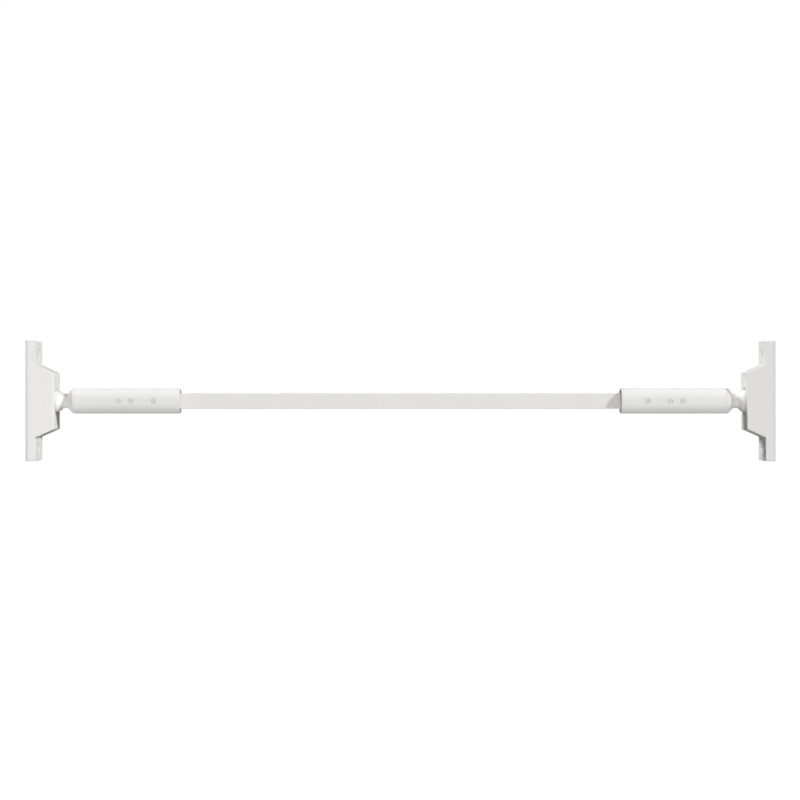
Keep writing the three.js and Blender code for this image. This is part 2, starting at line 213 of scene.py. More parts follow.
def add_object(name, data):
    made = bpy.data.objects.new(name, data)
    bpy.context.scene.collection.objects.link(made)
    return made


def skin(name, loops, sign, cyclic=False):
    """A closed surface over loops of equal length. A loop of radius 0 is one point."""
    bm = bmesh.new()
    rings = []
    for loop in loops:
        points = [Vector((sign * p[0], p[1], p[2])) for p in loop]
        if max((p - points[0]).length for p in points) < ONE_POINT:
            rings.append([bm.verts.new(points[0])])
        else:
            rings.append([bm.verts.new(p) for p in points])
    pairs = list(zip(rings, rings[1:]))
    if cyclic:
        pairs.append((rings[-1], rings[0]))
    for one, two in pairs:
        count = max(len(one), len(two))
        for i in range(count):
            j = (i + 1) % count
            corners = [
                one[i % len(one)], one[j % len(one)], two[j % len(two)], two[i % len(two)],
            ]
            corners = list(dict.fromkeys(corners))
            if len(corners) > 2:
                bm.faces.new(corners)
    if not cyclic:
        for end in (rings[0], rings[-1]):
            if len(end) > 2:
                bm.faces.new(end)
    bmesh.ops.recalc_face_normals(bm, faces=bm.faces)
    mesh = bpy.data.meshes.new(name)
    bm.to_mesh(mesh)
    bm.free()
    return add_object(name, mesh)


def turned(name, outline, sign=1, facets=FACETS):
    """A piece turned about the bar's axis from (u, radius) pairs."""
    cyclic = outline[0][1] > ONE_POINT
    return skin(name, [ring_loop(u, r, facets) for u, r in outline], sign, cyclic)


def move(piece, offset):
    piece.data.transform(piece.matrix_world.Translation(Vector(offset)))
    return piece


def across(piece):
    """Turns a piece made along X to run along -Y, its outward direction to the front."""
    piece.data.transform(piece.matrix_world.Rotation(-math.pi / 2, 4, "Z"))
    return piece


def disc(name, start, end, radius, rounding, sign):
    outline = [(start, 0), (start, radius), (end, radius), (end, 0)]
    return turned(name, soften(outline, rounding, cyclic=False), sign)


def tube(name, span, bore, radius, rounding, sign, facets=FACETS):
    outline = [(span.start, bore), (span.start, radius), (span.end, radius), (span.end, bore)]
    return turned(name, soften(outline, rounding), sign, facets)


def rod(start, end, radius, sign=1, facets=SMALL_FACETS, z=0.0):
    """A plain cylinder, to cut or to join."""
    made = turned("rod", [(start, 0), (start, radius), (end, radius), (end, 0)], sign, facets)
    return move(made, (0, 0, z))


def slab(start, end, half_y, half_z, corner, sign, y=0.0, z=0.0):
    """A straight block with its middle at Y and Z, to cut."""
    loops = [rectangle_loop(u, half_y, half_z, corner) for u in (start, end)]
    return move(skin("slab", loops, sign), (0, y, z))


def flat_plate(name, span, corner, edge, sign, steps=CORNER_STEPS):
    """A plate that fills its span. edge lists how far along and how far in its edge points lie."""
    stations = [(span.start + along, inset) for along, inset in edge]
    stations += [(span.end - along, inset) for along, inset in reversed(edge)]
    return skin(name, [
        rectangle_loop(u, span.half_y - inset, span.half_z - inset, corner - inset, steps)
        for u, inset in stations
    ], sign)


def combine(target, others, operation):
    """Joins or cuts target by the others, which are used up."""
    for other in others:
        step = target.modifiers.new("combine", "BOOLEAN")
        step.operation = operation
        step.solver = "EXACT"
        step.object = other
    graph = bpy.context.evaluated_depsgraph_get()
    mesh = bpy.data.meshes.new_from_object(target.evaluated_get(graph))
    target.modifiers.clear()
    bm = bmesh.new()
    bm.from_mesh(mesh)
    bmesh.ops.remove_doubles(bm, verts=bm.verts, dist=CUT_WELD)
    bmesh.ops.dissolve_degenerate(bm, edges=bm.edges, dist=CUT_WELD)
    # the solver now and then drops one facet
    open_edges = [edge for edge in bm.edges if len(edge.link_faces) == 1]
    bmesh.ops.holes_fill(bm, edges=open_edges, sides=LOST_FACET_SIDES)
    bmesh.ops.recalc_face_normals(bm, faces=bm.faces)
    bm.to_mesh(mesh)
    bm.free()
    target.data = mesh
    for other in others:
        bpy.data.objects.remove(other)


def surface(piece, look, body, node):
    """Smooths a finished piece, gives it its material and puts it on its body; the look's slot is
    not used.
    """
    material, slot = look
    bm = bmesh.new()
    bm.from_mesh(piece.data)
    bmesh.ops.remove_doubles(bm, verts=bm.verts, dist=FINAL_WELD)
    for face in bm.faces:
        face.smooth = True
    for edge in bm.edges:
        edge.smooth = len(edge.link_faces) == 2 and edge.calc_face_angle(0) < SHARP_ANGLE
    bm.to_mesh(piece.data)
    bm.free()
    normals = piece.modifiers.new("normals", "WEIGHTED_NORMAL")
    normals.keep_sharp = True
    piece.data.materials.clear()
    piece.data.materials.append(material)
    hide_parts(node)
    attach(piece, body)


# ---- Materials ----

def shader(name, roughness, metallic=0.0, specular=0.5, coat=0.0):
    material = bpy.data.materials.new(name)
    material.use_nodes = True
    tree = material.node_tree
    bsdf = tree.nodes["Principled BSDF"]
    bsdf.inputs["Roughness"].default_value = roughness
    bsdf.inputs["Metallic"].default_value = metallic
    bsdf.inputs["Specular IOR Level"].default_value = specular
    bsdf.inputs["Coat Weight"].default_value = coat
    bsdf.inputs["Coat Roughness"].default_value = 0.1
    return material, tree, bsdf


def noise(tree, scale, detail=2.0, stretch=(1, 1, 1), roughness=0.5):
    place = tree.nodes.new("ShaderNodeTexCoord")
    mapping = tree.nodes.new("ShaderNodeMapping")
    mapping.inputs["Scale"].default_value = stretch
    texture = tree.nodes.new("ShaderNodeTexNoise")
    texture.inputs["Scale"].default_value = scale
    texture.inputs["Detail"].default_value = detail
    texture.inputs["Roughness"].default_value = roughness
    tree.links.new(place.outputs["Object"], mapping.inputs["Vector"])
    tree.links.new(mapping.outputs["Vector"], texture.inputs["Vector"])
    return texture.outputs["Fac"]


def blend_colours(tree, factor, low, high, bsdf):
    """Base colour between two tones, over the middle of the factor's range."""
    ramp = tree.nodes.new("ShaderNodeValToRGB")
    ramp.color_ramp.elements[0].position = 0.35
    ramp.color_ramp.elements[1].position = 0.65
    ramp.color_ramp.elements[0].color = (*low, 1)
    ramp.color_ramp.elements[1].color = (*high, 1)
    tree.links.new(factor, ramp.inputs["Fac"])
    tree.links.new(ramp.outputs["Color"], bsdf.inputs["Base Color"])


def drift(tree, bsdf, cloud, tone, share):
    """Base colour that drifts between the tone and a share of it."""
    blend_colours(tree, cloud, tuple(c * share for c in tone), tone, bsdf)


def vary(tree, factor, low, high, bsdf):
    """Roughness between two values."""
    remap = tree.nodes.new("ShaderNodeMapRange")
    remap.inputs["To Min"].default_value = low
    remap.inputs["To Max"].default_value = high
    tree.links.new(factor, remap.inputs["Value"])
    tree.links.new(remap.outputs["Result"], bsdf.inputs["Roughness"])


def bump(tree, bsdf, heights, distance, strength):
    """Bump from one height, or from several added together with their weights."""
    total = None
    for height, weight in heights:
        scaled = tree.nodes.new("ShaderNodeMath")
        scaled.operation = "MULTIPLY"
        scaled.inputs[1].default_value = weight
        tree.links.new(height, scaled.inputs[0])
        if total is None:
            total = scaled.outputs[0]
            continue
        add = tree.nodes.new("ShaderNodeMath")
        add.operation = "ADD"
        tree.links.new(total, add.inputs[0])
        tree.links.new(scaled.outputs[0], add.inputs[1])
        total = add.outputs[0]
    node = tree.nodes.new("ShaderNodeBump")
    node.inputs["Distance"].default_value = distance
    node.inputs["Strength"].default_value = strength
    tree.links.new(total, node.inputs["Height"])
    tree.links.new(node.outputs["Normal"], bsdf.inputs["Normal"])


def coated(name, tone, roughness, peel, coat=0.0):
    """White coating: a faint change of tone over the length, and the orange peel of a spray."""
    material, tree, bsdf = shader(name, roughness, coat=coat)
    cloud = noise(tree, scale=9, detail=3)
    fine = noise(tree, scale=1400)
    waves = noise(tree, scale=420)
    drift(tree, bsdf, cloud, tone, share=0.985)
    vary(tree, waves, roughness - 0.04, roughness + 0.05, bsdf)
    bump(tree, bsdf, [(waves, 1.0), (fine, 0.35)], distance=0.05 * MM, strength=peel)
    return material


def moulded(name, tone, roughness, grain):
    """Plastic with a fine spark-eroded grain."""
    material, tree, bsdf = shader(name, roughness)
    cloud = noise(tree, scale=14)
    texture = noise(tree, scale=1100, detail=4, roughness=0.65)
    drift(tree, bsdf, cloud, tone, share=0.985)
    vary(tree, texture, roughness - 0.06, roughness + 0.06, bsdf)
    bump(tree, bsdf, [(texture, 1.0)], distance=0.05 * MM, strength=grain)
    return material


def rubbery(name, tone):
    material, tree, bsdf = shader(name, roughness=0.8, specular=0.35)
    cloud = noise(tree, scale=30, detail=4)
    pores = noise(tree, scale=1800, detail=5, roughness=0.7)
    drift(tree, bsdf, cloud, tone, share=0.95)
    vary(tree, pores, 0.7, 0.9, bsdf)
    bump(tree, bsdf, [(pores, 1.0)], distance=0.08 * MM, strength=0.5)
    return material


def plated(name, tone, roughness):
    """Zinc-plated steel with turning marks round the bar's axis."""
    material, tree, bsdf = shader(name, roughness, metallic=1.0)
    cloud = noise(tree, scale=60, detail=4)
    marks = noise(tree, scale=900, detail=3, stretch=(1, 0.05, 0.05))
    drift(tree, bsdf, cloud, tone, share=0.86)
    vary(tree, marks, roughness - 0.08, roughness + 0.1, bsdf)
    bump(tree, bsdf, [(marks, 1.0)], distance=0.03 * MM, strength=0.35)
    return material


# Each look is a material and the slot that its pieces fill
POWDER_ROUGHNESS = 0.42
BAR_LOOK = (
    coated("white_powder_coat", (0.835, 0.827, 0.803), POWDER_ROUGHNESS, peel=0.25), "white_paint",
)
SLEEVE_LOOK = (
    coated("cool_white_powder_coat", (0.835, 0.838, 0.815), POWDER_ROUGHNESS, peel=0.25),
    "white_paint",
)
BALL_LOOK = (
    coated("white_gloss_coat", (0.85, 0.848, 0.828), 0.22, peel=0.12, coat=0.4), "white_ball",
)
SCREW_LOOK = coated("white_screw_coat", (0.78, 0.775, 0.755), 0.38, peel=0.2), "white_screw"
MOULDED_LOOK = moulded("white_moulding", (0.845, 0.84, 0.812), 0.52, grain=0.3), "white_moulding"
PAD_LOOK = rubbery("off_white_rubber", (0.77, 0.76, 0.735)), "pad_rubber"
NYLON_LOOK = moulded("natural_nylon", (0.68, 0.67, 0.64), 0.55, grain=0.25), "nylon"
# The guide bush is a real nylon part, but its dark grey is painted shade that stands in for the dark
# gap in the sleeve's mouth
MOUTH_SHADE_BUSH_LOOK = moulded("grey_nylon", (0.27, 0.27, 0.265), 0.55, grain=0.25), "grey_nylon"
ZINC_LOOK = plated("zinc_plate", (0.62, 0.63, 0.64), 0.32), "zinc_steel"


# ---- The bar ----

def bar_loop(u, growth, corner):
    """The bar's outline at one place along it, grown on every side."""
    span = Span("centre_bar")
    return rectangle_loop(u, span.half_y + growth, span.half_z + growth, corner)


def centre_bar():
    """Rectangular tube with the edges of its ends broken."""
    end = Span("centre_bar").end
    lip = 0.3 * MM
    loops = [
        bar_loop(-end, -BAR_WALL, BAR_CORNER / 2),
        bar_loop(-end, -lip, BAR_CORNER - lip),
        bar_loop(-end + lip, 0, BAR_CORNER),
        bar_loop(end - lip, 0, BAR_CORNER),
        bar_loop(end, -lip, BAR_CORNER - lip),
        bar_loop(end, -BAR_WALL, BAR_CORNER / 2),
    ]
    surface(skin("bar_tube", loops, 1, cyclic=True), BAR_LOOK, "bar", "centre_bar")


def glide_cap(side, sign):
    """Nylon cap in the bar's end, with its front cut flat to pass the nut strip."""
    node = f"{side}_bar_glide"
    span = Span(node)
    face = Span("centre_bar").end + CLEARANCE
    inset = -BAR_WALL - CLEARANCE
    chamfer = 0.6 * MM
    piece = disc(f"{side}_glide_cap", face, span.end, span.half_z, 0.5 * MM, sign)
    shank = skin("shank", [
        bar_loop(span.start, inset - chamfer, BAR_CORNER / 2),
        bar_loop(span.start + chamfer, inset, BAR_CORNER / 2),
        bar_loop(face + PAST, inset, BAR_CORNER / 2),
    ], sign)
    reach = 10 * MM
    flat = slab(
        face - reach, span.end + reach, half_y=reach, half_z=40 * MM, corner=1 * MM,
        sign=sign, y=span.low.y - reach,
    )
    combine(piece, [shank], "UNION")
    combine(piece, [flat], "DIFFERENCE")
    surface(piece, NYLON_LOOK, "bar", node)


# ---- Sleeve ----

def sleeve(side, sign):
    """Round tube with a countersunk hole for each lock screw."""
    node = f"{side}_sleeve_tube"
    span = Span(node)
    radius = span.half_z
    edges = [0.3 * MM, 0.55 * MM, 0.15 * MM, 0.2 * MM]  # mouth inside and outside, then outer end
    piece = tube(f"{side}_sleeve", span, radius - SLEEVE_WALL, radius, edges, sign, FINE_FACETS)
    cutters = []
    for place in LOCK_PLACES:
        screw = Span(f"{side}_lock_screw_{place}")
        hole = screw.half_z + CLEARANCE
        flare = hole + 0.85 * MM
        countersink = 0.35 * MM
        above = 0.5 * MM
        cutter = across(turned("cutter", [
            (0, 0),
            (0, hole),
            (radius - countersink, hole),
            (radius + above, flare),
            (radius + FAR_PAST, flare),
            (radius + FAR_PAST, 0),
        ], facets=SMALL_FACETS))
        cutters.append(move(cutter, (screw.centre.x, 0, 0)))
    combine(piece, cutters, "DIFFERENCE")
    surface(piece, SLEEVE_LOOK, f"{side}_sleeve", node)


def lock_screw(side, place):
    """Socket set screw with its end just under the sleeve's skin."""
    node = f"{side}_lock_screw_{place}"
    span = Span(node)
    radius = span.half_z
    top = -span.low.y
    point = -span.high.y
    chamfer = 0.8 * MM
    outline = soften(
        [(point, 0), (point, radius - chamfer), (point + chamfer, radius), (top, radius), (top, 0)],
        [0, 0.2 * MM, 0.2 * MM, 0.45 * MM, 0],
        cyclic=False,
    )
    piece = across(turned(f"{side}_set_screw_{place}", outline, facets=SMALL_FACETS))
    key_radius = 1.1 * MM
    mouth_radius = 1.5 * MM
    socket = across(turned("socket", [
        (top - 0.6 * MM, 0),
        (top - 0.5 * MM, key_radius),
        (top - 0.1 * MM, key_radius),
        (top + 0.3 * MM, mouth_radius),
        (top + 0.3 * MM, 0),
    ], facets=HEXAGON))
    combine(piece, [socket], "DIFFERENCE")
    move(piece, (span.centre.x, 0, 0))
    surface(piece, SCREW_LOOK, f"{side}_sleeve", node)


def guide_bush(side, sign):
    """Bush in the sleeve's mouth, with a passage for the bar that is wider where it starts."""
    node = f"{side}_guide_bush"
    span = Span(node)
    piece = disc(f"{side}_bush", span.start, span.end, span.half_z, 0.4 * MM, sign)
    widening = 0.9 * MM
    lead_in = 0.4 * MM
    passage = skin("passage", [
        bar_loop(span.start - PAST, CLEARANCE + widening, BAR_CORNER),
        bar_loop(span.start + lead_in, CLEARANCE, BAR_CORNER + CLEARANCE),
        bar_loop(span.end + FAR_PAST, CLEARANCE, BAR_CORNER + CLEARANCE),
    ], sign)
    combine(piece, [passage], "DIFFERENCE")
    # the bush's dark grey is painted shade for the gap in the sleeve's mouth
    surface(piece, MOUTH_SHADE_BUSH_LOOK, f"{side}_sleeve", node)


def nut_strip(side, sign):
    """The front slice of a round bar, with a hole for each lock screw."""
    node = f"{side}_nut_strip"
    span = Span(node)
    piece = disc(f"{side}_nut_bar", span.start, span.end, -span.low.y, 0.5 * MM, sign)
    reach = 20 * MM
    behind = slab(
        span.start - FAR_PAST, span.end + FAR_PAST, half_y=reach, half_z=30 * MM, corner=1 * MM,
        sign=sign, y=span.high.y + reach,
    )
    cutters = [behind]
    for place in LOCK_PLACES:
        screw = Span(f"{side}_lock_screw_{place}")
        hole = across(rod(0, 30 * MM, screw.half_z + CLEARANCE))
        cutters.append(move(hole, (screw.centre.x, 0, 0)))
    combine(piece, cutters, "DIFFERENCE")
    surface(piece, ZINC_LOOK, f"{side}_sleeve", node)


def end_plug(side, sign):
    """Plug with a rounded shoulder and a cone down to the neck of the ball."""
    node = f"{side}_end_plug"
    span = Span(node)
    radius = span.half_z
    snug = radius - SLEEVE_WALL - CLEARANCE
    shoulder = Span(f"{side}_sleeve_tube").end + SEAM
    bore = SHANK_RADIUS + CLEARANCE
    recess = span.start + PLUG_RECESS
    cone_start = span.end - (radius - NECK_RADIUS)
    knee_u = cone_start - SHOULDER_ROUND * math.tan(CONE_ANGLE / 2)
    knee_radius = radius - SHOULDER_ROUND
    turns = [CONE_ANGLE * k / SHOULDER_STEPS for k in range(SHOULDER_STEPS + 1)]
    knee = [
        (knee_u + SHOULDER_ROUND * math.sin(t), knee_radius + SHOULDER_ROUND * math.cos(t))
        for t in turns
    ]
    inside = soften([
        (shoulder, radius),
        (recess, bore),
        (recess, NECK_RADIUS),
        (span.start, NECK_RADIUS),
        (span.start, snug),
        (shoulder, snug),
    ], [0, 0.2 * MM, 0.2 * MM, 0.3 * MM, 0.8 * MM, 0])
    nose = soften(
        [knee[-1], (span.end, NECK_RADIUS), (span.end, bore), (recess, bore)],
        [0, 0.3 * MM, 0.2 * MM, 0],
        cyclic=False,
    )
    outline = inside[:1] + knee + nose[1:-1] + inside[1:]
    piece = turned(f"{side}_nose_plug", outline, sign, FINE_FACETS)
    surface(piece, SLEEVE_LOOK, f"{side}_sleeve", node)


# ---- Ball joint ----

def ball_centre(side):
    """Outward distance of the ball's centre, where the joints turn."""
    for joint in frame["joints"]:
        if joint["name"] == f"{side}_ball_yaw":
            return abs(joint["pos_m"][0])
    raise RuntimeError(f"no ball joint on the {side}")


def neck_fillet(centre, ball_radius):
    """Fillet from neck to ball: its points, and the angle in degrees where it meets the ball."""
    reach = ball_radius + NECK_FILLET
    height = NECK_RADIUS + NECK_FILLET
    back = math.sqrt(reach * reach - height * height)
    start = -math.pi / 2
    end = math.atan2(-height, back)
    points = []
    for k in range(FILLET_STEPS + 1):
        angle = start + (end - start) * k / FILLET_STEPS
        points.append((
            centre - back + NECK_FILLET * math.cos(angle),
            height + NECK_FILLET * math.sin(angle),
        ))
    return points, math.degrees(math.atan2(height, -back))


def ball_stud(side, sign):
    """Shank with a groove for the snap ring, then the neck and the ball."""
    node = f"{side}_ball_stud"
    span = Span(node)
    centre = ball_centre(side)
    radius = span.half_z
    clip = Span(f"{side}_retaining_clip")
    neck = Span(f"{side}_end_plug").end + SEAM
    chamfer = 0.8 * MM
    gap = 0.2 * MM
    shank = [
        (span.start, 0),
        (span.start, SHANK_RADIUS - chamfer),
        (span.start + chamfer, SHANK_RADIUS),
        (clip.start - gap, SHANK_RADIUS),
        (clip.start - gap, GROOVE_RADIUS),
        (clip.end + gap, GROOVE_RADIUS),
        (clip.end + gap, SHANK_RADIUS),
        (neck, SHANK_RADIUS),
    ]
    collar = soften(
        [(neck, SHANK_RADIUS), (neck, NECK_RADIUS), (neck + 3 * MM, NECK_RADIUS)],
        0.3 * MM,
        cyclic=False,
    )
    fillet, front_angle = neck_fillet(centre, radius)
    back_angle = math.degrees(math.acos((span.end - centre) / radius))
    ball = arc(centre, radius, front_angle, back_angle, BALL_STEPS)
    outline = shank + collar[1:] + fillet + ball[1:] + [(span.end, 0)]
    piece = turned(f"{side}_ball", outline, sign, FINE_FACETS)
    surface(piece, BALL_LOOK, f"{side}_stud", node)


def thrust_washer(side, sign):
    node = f"{side}_thrust_washer"
    span = Span(node)
    bore = SHANK_RADIUS + CLEARANCE
    piece = tube(f"{side}_washer", span, bore, span.half_z, 0.25 * MM, sign)
    surface(piece, ZINC_LOOK, f"{side}_sleeve", node)


def retaining_clip(side, sign):
    """Snap ring, open at the top."""
    node = f"{side}_retaining_clip"
    span = Span(node)
    bore = GROOVE_RADIUS + CLEARANCE
    piece = tube(f"{side}_snap_ring", span, bore, span.half_y, 0.2 * MM, sign)
    half_gap = 2 * MM
    opening = slab(
        span.start - half_gap, span.end + half_gap, half_y=half_gap, half_z=4 * MM,
        corner=0.8 * MM, sign=sign, z=6 * MM,
    )
    combine(piece, [opening], "DIFFERENCE")
    surface(piece, ZINC_LOOK, f"{side}_stud", node)


def liner_radii(side):
    inside = Span(f"{side}_ball_stud").half_z + CLEARANCE
    return inside, inside + LINER_THICKNESS


def seat_radius(side):
    """Radius of the socket that the liner turns in."""
    return liner_radii(side)[1] + CLEARANCE


def ball_liner(side, sign):
    node = f"{side}_ball_liner"
    centre = ball_centre(side)
    inside, outside = liner_radii(side)
    outer_face = arc(centre, outside, LINER_FRONT, LINER_BACK, SEAT_STEPS)
    inner_face = arc(centre, inside, LINER_BACK, LINER_FRONT, SEAT_STEPS)
    piece = turned(f"{side}_liner_band", outer_face + inner_face, sign, FINE_FACETS)
    surface(piece, NYLON_LOOK, f"{side}_liner", node)


# ---- Wall bracket ----

def rounded_body(name, front, half_depth, half_height, corner, stations, sign):
    """A body along X with a rounded front edge; half_depth(u) and half_height(u) give its section
    there and at the stations, the last of which is its back."""
    loops = []
    for k in range(EDGE_STEPS + 1):
        angle = math.pi / 2 * k / EDGE_STEPS
        u = front + BRACKET_EDGE * (1 - math.cos(angle))
        inset = BRACKET_EDGE * (1 - math.sin(angle))
        size = half_depth(u) - inset, half_height(u) - inset
        loops.append(rectangle_loop(u, *size, corner - inset, PLATE_CORNER_STEPS))
    for u in stations:
        size = half_depth(u), half_height(u)
        loops.append(rectangle_loop(u, *size, corner, PLATE_CORNER_STEPS))
    return skin(name, loops, sign)


def bracket(side, sign):
    """Base plate and raised block, hollow at the back, with the front half of the ball's socket."""
    node = f"{side}_bracket_housing"
    span = Span(node)
    centre = ball_centre(side)
    front = span.start
    back = Span(f"{side}_wall_pad").start - SEAM
    plate = span.end - PLATE_THICKNESS
    seat = seat_radius(side)

    def depth(u):
        slope = (span.half_y - BLOCK_HALF_DEPTH) * (u - front) / (span.end - front)
        return BLOCK_HALF_DEPTH + slope

    def block_depth(u):
        return depth(u) - BLOCK_INSET

    def block_height(u):
        share = (min(u, plate) - front) / (plate - front)
        return BLOCK_HALF_FRONT + (BLOCK_HALF_PLATE - BLOCK_HALF_FRONT) * share

    def plate_height(u):
        return span.half_z

    piece = rounded_body(
        f"{side}_bracket", plate, depth, plate_height, PLATE_CORNER, [back], sign,
    )
    block = rounded_body(
        "block", front, block_depth, block_height, BLOCK_CORNER, [plate, plate + FAR_PAST], sign,
    )
    combine(piece, [block], "UNION")

    pocket = skin("pocket", [
        rectangle_loop(u, depth(u) - BRACKET_SHELL, block_height(u) - BRACKET_SHELL, POCKET_CORNER)
        for u in (centre, plate, back + PAST)
    ], sign)
    combine(piece, [pocket], "DIFFERENCE")

    boss_back = centre + SOCKET_BOSS
    bosses = [rod(front + PAST, boss_back, seat + BRACKET_SHELL, sign, FACETS)]
    for z in (RETAINER_SCREW_Z, -RETAINER_SCREW_Z):
        bosses.append(rod(front + PAST, centre + SCREW_BOSS, SCREW_BOSS_RADIUS, sign, z=z))
    combine(piece, bosses, "UNION")

    rim = math.sqrt(seat ** 2 - (centre - front) ** 2)
    rim_flare = rim + 1.5 * MM
    rim_depth = 0.5 * MM
    seat_outline = arc(centre, seat, 180, 90, SEAT_STEPS) + [
        (boss_back + PAST, seat),
        (boss_back + PAST, 0),
    ]
    rim_outline = [
        (front - PAST, 0),
        (front - PAST, rim_flare),
        (front + rim_depth, rim),
        (front + rim_depth, 0),
    ]
    cutters = [
        turned("seat", seat_outline, sign, FINE_FACETS),
        turned("rim", rim_outline, sign, FINE_FACETS),
    ]
    hole_start = Span(f"{side}_retainer_screw_upper").start - PAST
    hole_end = centre + SCREW_HOLE
    for place in (1, -1):
        retainer_z = place * RETAINER_SCREW_Z
        cutters.append(rod(hole_start, hole_end, RETAINER_HOLE_RADIUS, sign, z=retainer_z))
        cutters.append(wall_screw_hole(plate, back, place * WALL_SCREW_Z, sign))
    combine(piece, cutters, "DIFFERENCE")
    surface(piece, MOULDED_LOOK, f"{side}_bracket", node)


def wall_screw_hole(plate, back, z, sign):
    """Counterbored hole that narrows towards its floor, with a softened rim."""
    shelf = plate + COUNTERBORE_DEPTH
    bevel = 0.25 * MM
    flare = COUNTERBORE_RIM + 1.25 * MM
    outline = [
        (plate - PAST, 0),
        (plate - PAST, flare),
        (plate + bevel, COUNTERBORE_RIM),
        (shelf, COUNTERBORE_FLOOR),
        (shelf, WALL_HOLE_RADIUS),
        (back + FAR_PAST, WALL_HOLE_RADIUS),
        (back + FAR_PAST, 0),
    ]
    sizes = [0, 0, 0.4 * MM, 0.3 * MM, 0, 0, 0]
    hole = turned("cutter", soften(outline, sizes, cyclic=False), sign, SCREW_FACETS)
    return move(hole, (0, 0, z))


def wall_pad(side, sign):
    """Thin pad of the plate's outline, with its edges rounded a little."""
    node = f"{side}_wall_pad"
    span = Span(node)
    edge = [(0, PAD_EDGE), (0.3 * PAD_EDGE, 0.3 * PAD_EDGE), (PAD_EDGE, 0)]
    piece = flat_plate(f"{side}_pad", span, PLATE_CORNER, edge, sign, PLATE_CORNER_STEPS)
    start, end = span.start - PAST, span.end + PAST
    holes = [
        rod(start, end, WALL_HOLE_RADIUS, sign, z=z) for z in (WALL_SCREW_Z, -WALL_SCREW_Z)
    ]
    combine(piece, holes, "DIFFERENCE")
    surface(piece, PAD_LOOK, f"{side}_bracket", node)


def pan_head_screw(side, name, node, shank, head_height, towards, look):
    """Pan-head screw with a cross recess. towards is 1 for a head at the outer end, else -1."""
    sign = SIDES[side]
    span = Span(node)
    top, tip = (span.end, span.start) if towards > 0 else (span.start, span.end)
    seat = top - towards * head_height
    head = span.half_z
    outline = [
        (tip, 0),
        (tip, shank * 0.6),
        (tip + towards * shank, shank),
        (seat, shank),
        (seat, head),
        (seat + towards * head_height * 0.6, head * 0.97),
        (top, head * 0.66),
        (top, 0),
    ]
    sizes = [0, 0.1 * MM, 0.2 * MM, 0.1 * MM, 0.2 * MM, 1.2 * MM, 0.9 * MM, 0]
    piece = turned(name, soften(outline, sizes, cyclic=False), sign, SCREW_FACETS)
    long_half, short_half = head * 0.5, head * 0.12
    recess_floor = top - towards * head_height * 0.55
    recess_mouth = top + towards * 0.2 * MM
    taper = 0.7
    arms = []
    for half_y, half_z in ((long_half, short_half), (short_half, long_half)):
        arms.append(skin("arm", [
            rectangle_loop(recess_floor, half_y * taper, half_z * taper, 0.15 * MM),
            rectangle_loop(recess_mouth, half_y, half_z, 0.2 * MM),
        ], sign))
    combine(piece, arms, "DIFFERENCE")
    move(piece, (0, 0, span.centre.z))
    surface(piece, look, f"{side}_bracket", node)


def pressure_cup(side, sign):
    """The rear half of the ball's socket, with an eye in its middle."""
    node = f"{side}_pressure_cup"
    span = Span(node)
    centre = ball_centre(side)
    seat = seat_radius(side)
    front_angle = math.degrees(math.acos((span.start - centre) / seat))
    back_angle = math.degrees(math.asin(CUP_EYE_RADIUS / seat))
    outside = [
        (span.start, span.half_z), (span.end, span.half_z), (span.end, CUP_EYE_RADIUS),
    ]
    outline = outside + arc(centre, seat, back_angle, front_angle, SEAT_STEPS)
    piece = turned(f"{side}_rear_cup", outline, sign)
    surface(piece, NYLON_LOOK, f"{side}_bracket", node)


def disc_spring(side, sign):
    """Dished washer that presses on the cup."""
    node = f"{side}_disc_spring"
    span = Span(node)
    thick = 1 * MM
    dish = 0.7 * MM
    bend_radius = 12 * MM
    eye_radius = 7 * MM
    outline = [
        (span.start, bend_radius),
        (span.start + dish, eye_radius),
        (span.end, eye_radius),
        (span.start + thick, bend_radius),
        (span.start + thick, span.half_z),
        (span.start, span.half_z),
    ]
    piece = turned(f"{side}_spring_disc", soften(outline, 0.3 * MM), sign)
    surface(piece, ZINC_LOOK, f"{side}_bracket", node)


def retainer_plate(side, sign):
    """Steel plate with an eye and two screw holes, which holds the cup and the spring."""
    node = f"{side}_retainer_plate"
    span = Span(node)
    chamfer = 0.3 * MM
    edge = [(0, chamfer), (chamfer, 0)]
    piece = flat_plate(f"{side}_keeper_plate", span, 3 * MM, edge, sign)
    start, end = span.start - PAST, span.end + PAST
    holes = [rod(start, end, PLATE_EYE_RADIUS, sign, SCREW_FACETS)]
    for z in (RETAINER_SCREW_Z, -RETAINER_SCREW_Z):
        holes.append(rod(start, end, RETAINER_HOLE_RADIUS, sign, z=z))
    combine(piece, holes, "DIFFERENCE")
    surface(piece, ZINC_LOOK, f"{side}_bracket", node)


# ---- The whole object ----

def build_end(side, sign):
    glide_cap(side, sign)
    sleeve(side, sign)
    guide_bush(side, sign)
    nut_strip(side, sign)
    for place in LOCK_PLACES:
        lock_screw(side, place)
    end_plug(side, sign)
    thrust_washer(side, sign)
    ball_stud(side, sign)
    retaining_clip(side, sign)
    ball_liner(side, sign)
    bracket(side, sign)
    pressure_cup(side, sign)
    disc_spring(side, sign)
    retainer_plate(side, sign)
    wall_pad(side, sign)
    for place in SCREW_PLACES:
        pan_head_screw(
            side, f"{side}_keeper_screw_{place}", f"{side}_retainer_screw_{place}",
            shank=1.6 * MM, head_height=2.2 * MM, towards=1, look=ZINC_LOOK,
        )
        pan_head_screw(
            side, f"{side}_anchor_screw_{place}", f"{side}_wall_screw_{place}",
            shank=2.4 * MM, head_height=1.6 * MM, towards=-1, look=SCREW_LOOK,
        )


centre_bar()
for side, sign in SIDES.items():
    build_end(side, sign)


# ---- Camera, floor and light ----

